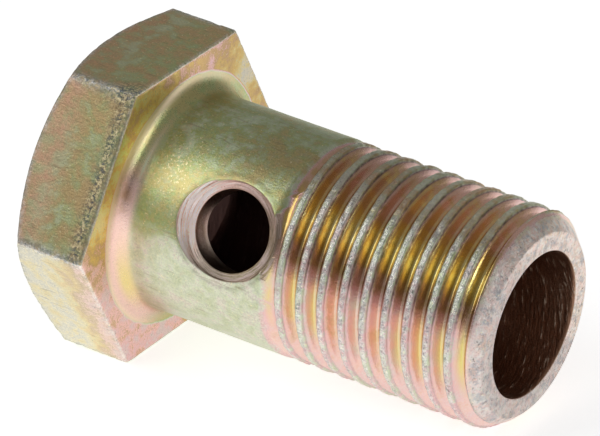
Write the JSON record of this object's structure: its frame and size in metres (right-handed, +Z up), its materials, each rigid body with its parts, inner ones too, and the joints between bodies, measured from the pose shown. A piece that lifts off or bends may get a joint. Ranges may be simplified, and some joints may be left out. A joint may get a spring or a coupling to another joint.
{
  "type": "banjo bolt",
  "caption": "Hollow hexagon-head screw that clamps a banjo eye and carries fuel or oil through its bore and cross hole.",
  "frame": {"origin": "centre of the base of the box, on the surface that the bolt lies on", "axes": "+X along the bolt from the head to the threaded tip, which points slightly down; +Z up"},
  "size_m": [0.0328, 0.0216, 0.0193],
  "materials": {
    "yellow_zinc": "yellow chromate over zinc, worn, with dark specks and bright edges"
  },
  "bodies": {
    "root": {"banjo_bolt": "yellow_zinc"}
  },
  "joints": []
}
